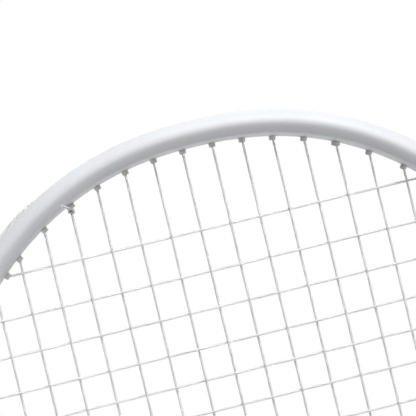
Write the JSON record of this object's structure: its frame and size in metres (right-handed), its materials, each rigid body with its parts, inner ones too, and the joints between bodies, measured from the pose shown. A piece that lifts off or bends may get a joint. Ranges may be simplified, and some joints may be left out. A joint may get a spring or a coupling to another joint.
{
  "type": "badminton racket",
  "caption": "Strung badminton racket: oval head with a grooved frame, grommet strips and a woven string bed, on a slim shaft with a cone and a wrapped octagonal handle.",
  "frame": {"origin": "centre of the flat butt face at the end of the handle", "axes": "+Z along the shaft from the butt to the head, +X across the head, the front of the string bed looks along -Y"},
  "size_m": [0.2, 0.0256, 0.675],
  "materials": {
    "frame_paint": "satin pearl silver paint",
    "grommet_nylon": "moulded, satin",
    "main_string_nylon": "coated string, satin",
    "cross_string_nylon": "coated string, satin",
    "shaft_paint": "satin pearl silver paint",
    "core_wood": "bare",
    "cone_plastic": "moulded, satin",
    "cap_plastic": "moulded, matt",
    "grip_strip": "tacky synthetic strip with fine pores",
    "collar_band": "matt"
  },
  "bodies": {
    "root": {"butt_cap": "cap_plastic", "cone_cap": "cone_plastic", "cross_string": "cross_string_nylon", "grip_collar": "collar_band", "grip_wrap": "grip_strip", "grommet_strip_left_1": "grommet_nylon", "grommet_strip_left_2": "grommet_nylon", "grommet_strip_left_3": "grommet_nylon", "grommet_strip_left_4": "grommet_nylon", "grommet_strip_left_5": "grommet_nylon", "grommet_strip_right_1": "grommet_nylon", "grommet_strip_right_2": "grommet_nylon", "grommet_strip_right_3": "grommet_nylon", "grommet_strip_right_4": "grommet_nylon", "grommet_strip_right_5": "grommet_nylon", "grommet_strip_top": "grommet_nylon", "handle_core": "core_wood", "head_frame": "frame_paint", "main_string": "main_string_nylon", "shaft": "shaft_paint"}
  },
  "joints": []
}
